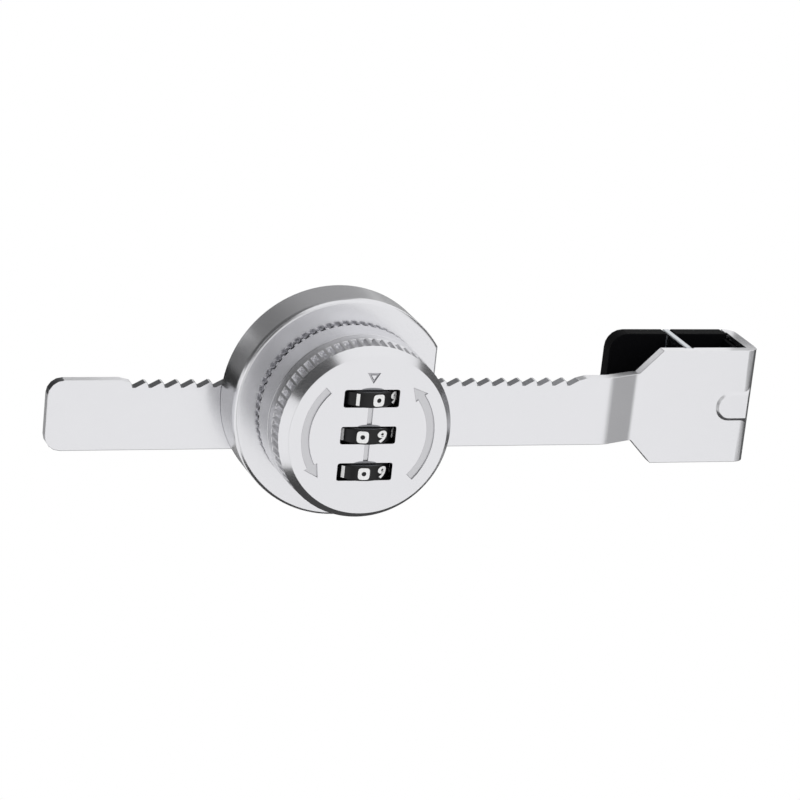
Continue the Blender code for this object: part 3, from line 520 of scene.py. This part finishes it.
def ringDigit(width, height, hole):
    # the 0 is a soft square with a round hole
    shape = bmesh.new()
    count = wheels["zeroSteps"]
    power = wheels["zeroSquareness"]
    rings = []
    for level in (-0.5, 0.5):
        outer, inner = [], []
        for i in range(count):
            angle = 2 * math.pi * i / count
            a, b = math.cos(angle), math.sin(angle)
            reach = (abs(a) ** power + abs(b) ** power) ** (-1 / power)
            outer.append(shape.verts.new((a * reach * width / 2, b * reach * height / 2, level)))
            inner.append(shape.verts.new((a * hole / 2, b * hole / 2, level)))
        rings.append((outer, inner))
    low, high = rings
    for first, second in (low, high, (low[0], high[0]), (low[1], high[1])):
        for i in range(count):
            j = (i + 1) % count
            shape.faces.new((first[i], first[j], second[j], second[i]))
    return shape


def digitShape(text, radius, turn, centre):
    # a digit as a thin solid, wrapped on the wheel's rim and turned to its place
    height = wheels["digitHeight"]
    if text == "0":
        shape = ringDigit(wheels["zeroWidth"], height, wheels["zeroHole"])
    elif text == "1":
        shape = barDigit(wheels["oneWidth"], height)
    else:
        shape = typedDigit(text, wheels["digitWidth"], height)
    for vert in shape.verts:
        out = radius + wheels["digitThickness"] * (vert.co.z + 0.5 - wheels["digitSunk"])
        angle = turn + vert.co.x / radius
        vert.co = centre + Vector((out * math.sin(angle), -out * math.cos(angle), vert.co.y))
    bmesh.ops.recalc_face_normals(shape, faces=shape.faces)
    return shape


def makeWheel(nodeName):
    low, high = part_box(nodeName)
    centre = (low + high) / 2
    radius = (high.x - low.x) / 2
    half = (high.z - low.z) / 2
    edge = wheels["edge"]
    bore = wheels["bore"]
    shape = bmesh.new()
    profile = [(bore, -half), (radius - edge, -half), (radius, -half + edge), (radius, half - edge),
               (radius - edge, half), (bore, half)]
    ring = [shape.verts.new((centre.x + r, centre.y, centre.z + z)) for r, z in profile]
    outline = [shape.edges.new((ring[i], ring[(i + 1) % len(ring)])) for i in range(len(ring))]
    bmesh.ops.spin(shape, geom=outline + ring, cent=centre, axis=(0, 0, 1), angle=2 * math.pi,
                   steps=wheels["steps"], use_merge=True, dvec=(0, 0, 0))
    bmesh.ops.remove_doubles(shape, verts=shape.verts, dist=0.001 * mm)
    bmesh.ops.recalc_face_normals(shape, faces=shape.faces)
    wheel = addPiece(nodeName + "_rim", shape, bodyOf[nodeName], [blackAcetal, bareZinc], [nodeName])
    for face in wheel.data.polygons:
        face.material_index = 1 if abs(face.normal.z) > 0.9 else 0
    shadeByAngle(wheel)
    softenEdges(wheel, wheels["edgeSoftened"])
    zero = math.radians(wheels["zeroAt"][nodeName])
    for digit in range(10):
        turn = zero - digit * 2 * math.pi / 10
        ink = addPiece("%s_digit_%d" % (nodeName, digit), digitShape(str(digit), radius, turn, centre),
                       bodyOf[nodeName], [whiteInk])
        # typed digits come with smooth faces
        ink.data.set_sharp_from_angle(angle=math.radians(30))


for wheelName in wheels["zeroAt"]:
    makeWheel(wheelName)
print("number wheels made")


# The small parts inside and behind keep their own shapes
smallParts = {
    "cover_screw_1": zincSteel,
    "cover_screw_2": zincSteel,
    "cover_screw_3": zincSteel,
    "cover_screw_4": zincSteel,
    "dial_screw_1": zincSteel,
    "dial_screw_2": zincSteel,
    "dial_retainer": zincSteel,
    "wheel_axle": zincSteel,
    "pawl": sinteredSteel,
    "spindle_cam": sinteredSteel,
    "detent_spring": springSteel,
    "code_sleeve_top": turnedBrass,
    "code_sleeve_middle": turnedBrass,
    "code_sleeve_bottom": turnedBrass,
}


def finishSmallParts():
    for nodeName, material in smallParts.items():
        node = nodes[nodeName]
        if not node.data.materials:
            node.data.materials.append(material)
        for place in node.material_slots:
            place.material = material


def makePawlCoil():
    # the pawl's spring as a welded copy with a mesh of its own; the real spring shortens from its upper end
    # as the pawl lifts
    coil = addPiece("pawl_coil", copyOfNode("pawl_spring"), bodyOf["pawl_spring"], [springSteel],
                    ["pawl_spring"])
    shadeByAngle(coil, degrees=50.0)
    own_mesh(coil)


finishSmallParts()
makePawlCoil()
print("small parts finished")


# Studio: a pale floor and sky that read white, soft lamps, and grey cards that the metal mirrors
studio = {
    "floorBelow": 0.22,
    "floorSize": 8.0,
    "floorColour": "#F2F2F2",
    "skyForDiffuse": 0.55,
    "cardRows": 8,
    "cardColumns": 36,
}


def seenDirectly(tree):
    # 1 for a ray from the camera or from a mirror, 0 for one that only lights a surface
    ray = addNode(tree, "ShaderNodeLightPath").outputs
    seen = addNode(tree, "ShaderNodeMath", {"operation": "MAXIMUM"},
                   {0: ray["Is Camera Ray"], 1: ray["Is Glossy Ray"]})
    seen = addNode(tree, "ShaderNodeMath", {"operation": "MAXIMUM"},
                   {0: seen.outputs[0], 1: ray["Is Transmission Ray"]})
    return seen.outputs[0]


def whiteToCamera(tree, litShader):
    # reads pure white to the eye and in reflections
    white = addNode(tree, "ShaderNodeEmission", None, {"Color": (1, 1, 1, 1), "Strength": 1.0})
    return addNode(tree, "ShaderNodeMixShader", None,
                   {0: seenDirectly(tree), 1: litShader.outputs[0], 2: white.outputs[0]})


def makeWorld():
    world = bpy.data.worlds.new("studio")
    bpy.context.scene.world = world
    world.use_nodes = True
    tree = world.node_tree
    tree.nodes.clear()
    level = addNode(tree, "ShaderNodeMapRange", None,
                    {"Value": seenDirectly(tree), "To Min": studio["skyForDiffuse"], "To Max": 1.0})
    sky = addNode(tree, "ShaderNodeBackground", None,
                  {"Color": (1, 1, 1, 1), "Strength": level.outputs["Result"]})
    addNode(tree, "ShaderNodeOutputWorld", None, {"Surface": sky.outputs[0]})


def stagePlane(name, corners, material):
    shape = bmesh.new()
    shape.faces.new([shape.verts.new(corner) for corner in corners])
    mesh = bpy.data.meshes.new(name)
    shape.to_mesh(mesh)
    shape.free()
    mesh.materials.append(material)
    plane = bpy.data.objects.new(name, mesh)
    bpy.context.scene.collection.objects.link(plane)
    return plane


def makeFloor():
    material, tree = newMaterial("pale_floor")
    lit = addNode(tree, "ShaderNodeBsdfDiffuse", None, {"Color": toLinear(studio["floorColour"])})
    closeMaterial(tree, whiteToCamera(tree, lit))
    half = studio["floorSize"] / 2
    level = cadBox[0].z - studio["floorBelow"]
    corners = ((-half, -half), (half, -half), (half, half), (-half, half))
    stagePlane("floor", [(x, y, level) for x, y in corners], material)


cards = {
    # a card is a band of a ball around the lock; azimuth is measured from +Y towards +X, in degrees
    # name: (from azimuth, to azimuth, lowest, highest elevation, distance, levels along it)
    "rear_card": (-75.0, 24.0, 8.0, 60.0, 0.50,
                  ((0.0, 0.10), (0.42, 0.12), (0.52, 0.20), (0.58, 0.21), (0.66, 0.30), (0.76, 0.36),
                   (1.0, 0.38))),
    "rear_middle_card": (-50.0, -12.0, -5.0, 8.0, 0.50, ((0.0, 0.16), (1.0, 0.18))),
    "rear_dark_card": (-50.0, -12.0, -15.0, -5.0, 0.50, ((0.0, 0.10), (0.5, 0.01), (1.0, 0.02))),
    "rear_floor_card": (-50.0, 27.0, -32.0, -15.0, 0.40,
                        ((0.0, 0.34), (0.38, 0.34), (0.46, 0.52), (0.57, 0.42), (0.66, 0.13), (1.0, 0.12))),
    "rear_right_card": (5.0, 38.0, -20.0, 10.0, 0.50, ((0.0, 0.34), (0.6, 0.36), (1.0, 0.42))),
    "right_card": (46.0, 143.0, -24.0, 30.0, 0.50,
                   ((0.0, 0.09), (0.3, 0.12), (0.47, 0.15), (0.61, 0.42), (0.70, 0.50), (0.85, 0.76),
                    (1.0, 1.0))),
    "right_edge_card": (114.0, 134.0, -12.0, 3.0, 0.46, ((0.0, 0.10), (1.0, 0.10))),
    "low_right_card": (20.0, 47.0, -50.0, -17.0, 0.27, ((0.0, 0.07), (1.0, 0.07))),
    "low_hook_card": (60.0, 120.0, -50.0, -24.0, 0.28, ((0.0, 0.10), (1.0, 0.10))),
    "left_card": (-140.0, -80.0, 17.0, 68.0, 0.50, ((0.0, 0.5), (0.3, 0.10), (0.8, 0.08), (1.0, 0.10))),
    "front_left_card": (204.0, 224.0, -12.0, 23.0, 0.50, ((0.0, 0.36), (1.0, 0.30))),
    "front_middle_card": (184.0, 204.0, -8.0, 23.0, 0.50, ((0.0, 0.95), (0.5, 0.80), (1.0, 0.72))),
    "front_upper_card": (172.0, 224.0, 23.0, 36.0, 0.50,
                         ((0.0, 0.62), (0.35, 0.50), (0.6, 0.34), (1.0, 0.34))),
    "front_low_card": (193.0, 214.0, -32.0, -13.0, 0.40,
                       ((0.0, 0.80), (0.30, 0.55), (0.55, 0.40), (1.0, 0.32))),
    "low_card": (-180.0, 180.0, -88.0, -43.0, 0.20, ((0.0, 0.07), (1.0, 0.07))),
}

nearCards = {
    # small flags just behind the lock: (from x, to x, y, lowest z, highest z, level), all in mm
    "bar_end_flag": (-112.0, -101.0, 53.0, 14.0, 28.0, 0.80),
    "bar_top_flag": (-101.0, -82.0, 53.0, 14.0, 28.0, 1.0),
    "shoulder_flag": (-25.0, -12.0, 55.0, 29.0, 43.0, 1.0),
    "fold_flag": (27.0, 36.0, 22.0, 15.8, 19.6, 0.08),
}


def onlyMirrored(card):
    card.visible_camera = False
    card.visible_diffuse = False
    card.visible_shadow = False


def makeCard(name, first, last, lowest, highest, distance, levels):
    material, tree = newMaterial(name)
    place = addNode(tree, "ShaderNodeTexCoord").outputs["UV"]
    along = addNode(tree, "ShaderNodeSeparateXYZ", None, {0: place}).outputs["X"]
    ramp = addNode(tree, "ShaderNodeValToRGB", None, {"Fac": along})
    points = ramp.color_ramp.elements
    while len(points) < len(levels):
        points.new(0.5)
    for point, (share, level) in zip(points, levels):
        point.position = share
        point.color = (level, level, level, 1.0)
    glow = addNode(tree, "ShaderNodeEmission", None, {"Color": ramp.outputs["Color"], "Strength": 1.0})
    closeMaterial(tree, glow)
    centre = (cadBox[0] + cadBox[1]) / 2
    width = math.radians(last - first)
    start = math.radians(first)
    rows = studio["cardRows"]
    shape = bmesh.new()
    column = []
    for i in range(rows + 1):
        rise = math.radians(lowest + (highest - lowest) * i / rows)
        side = Vector((math.sin(start) * math.cos(rise), math.cos(start) * math.cos(rise), math.sin(rise)))
        column.append(shape.verts.new(centre + side * distance))
    strip = [shape.edges.new((column[i], column[i + 1])) for i in range(rows)]
    bmesh.ops.spin(shape, geom=strip + column, cent=centre, axis=(0, 0, -1), angle=width,
                   steps=studio["cardColumns"], use_merge=False, dvec=(0, 0, 0))
    # the levels run along the card by its bearing, which is kept from jumping a full turn inside a face
    sides = shape.loops.layers.uv.new("across")
    for face in shape.faces:
        middle = face.calc_center_median() - centre
        faceBearing = (math.atan2(middle.x, middle.y) - start) % (2 * math.pi)
        for loop in face.loops:
            spot = loop.vert.co - centre
            bearing = (math.atan2(spot.x, spot.y) - start) % (2 * math.pi)
            if bearing - faceBearing > math.pi:
                bearing -= 2 * math.pi
            if faceBearing - bearing > math.pi:
                bearing += 2 * math.pi
            loop[sides].uv = (bearing / width, 0.5)
    mesh = bpy.data.meshes.new(name)
    shape.to_mesh(mesh)
    shape.free()
    mesh.materials.append(material)
    card = bpy.data.objects.new(name, mesh)
    bpy.context.scene.collection.objects.link(card)
    onlyMirrored(card)


def makeNearCard(name, left, right, behind, low, high, level):
    material, tree = newMaterial(name)
    glow = addNode(tree, "ShaderNodeEmission", None, {"Color": (level, level, level, 1.0), "Strength": 1.0})
    closeMaterial(tree, glow)
    corners = ((left, low), (right, low), (right, high), (left, high))
    card = stagePlane(name, [(x * mm, behind * mm, z * mm) for x, z in corners], material)
    onlyMirrored(card)


lamps = {
    # name: (place, watts, size)
    "key_lamp": ((0.5, -1.5, 0.9), 9.0, 1.2),
    "fill_lamp": ((-1.2, -1.2, 0.6), 3.0, 1.2),
    "top_lamp": ((-0.1, 0.3, 1.6), 4.0, 1.2),
}


def makeLamp(name, place, watts, size):
    light = bpy.data.lights.new(name, "AREA")
    light.energy = watts
    light.size = size
    lamp = bpy.data.objects.new(name, light)
    lamp.location = place
    aim = (cadBox[0] + cadBox[1]) / 2 - Vector(place)
    lamp.rotation_euler = aim.to_track_quat("-Z", "Y").to_euler()
    lamp.visible_glossy = False
    bpy.context.scene.collection.objects.link(lamp)


makeWorld()
makeFloor()
for cardName, facts in cards.items():
    makeCard(cardName, *facts)
for cardName, facts in nearCards.items():
    makeNearCard(cardName, *facts)
for lampName, facts in lamps.items():
    makeLamp(lampName, *facts)
bpy.context.scene.view_settings.view_transform = "Standard"
print("studio made")
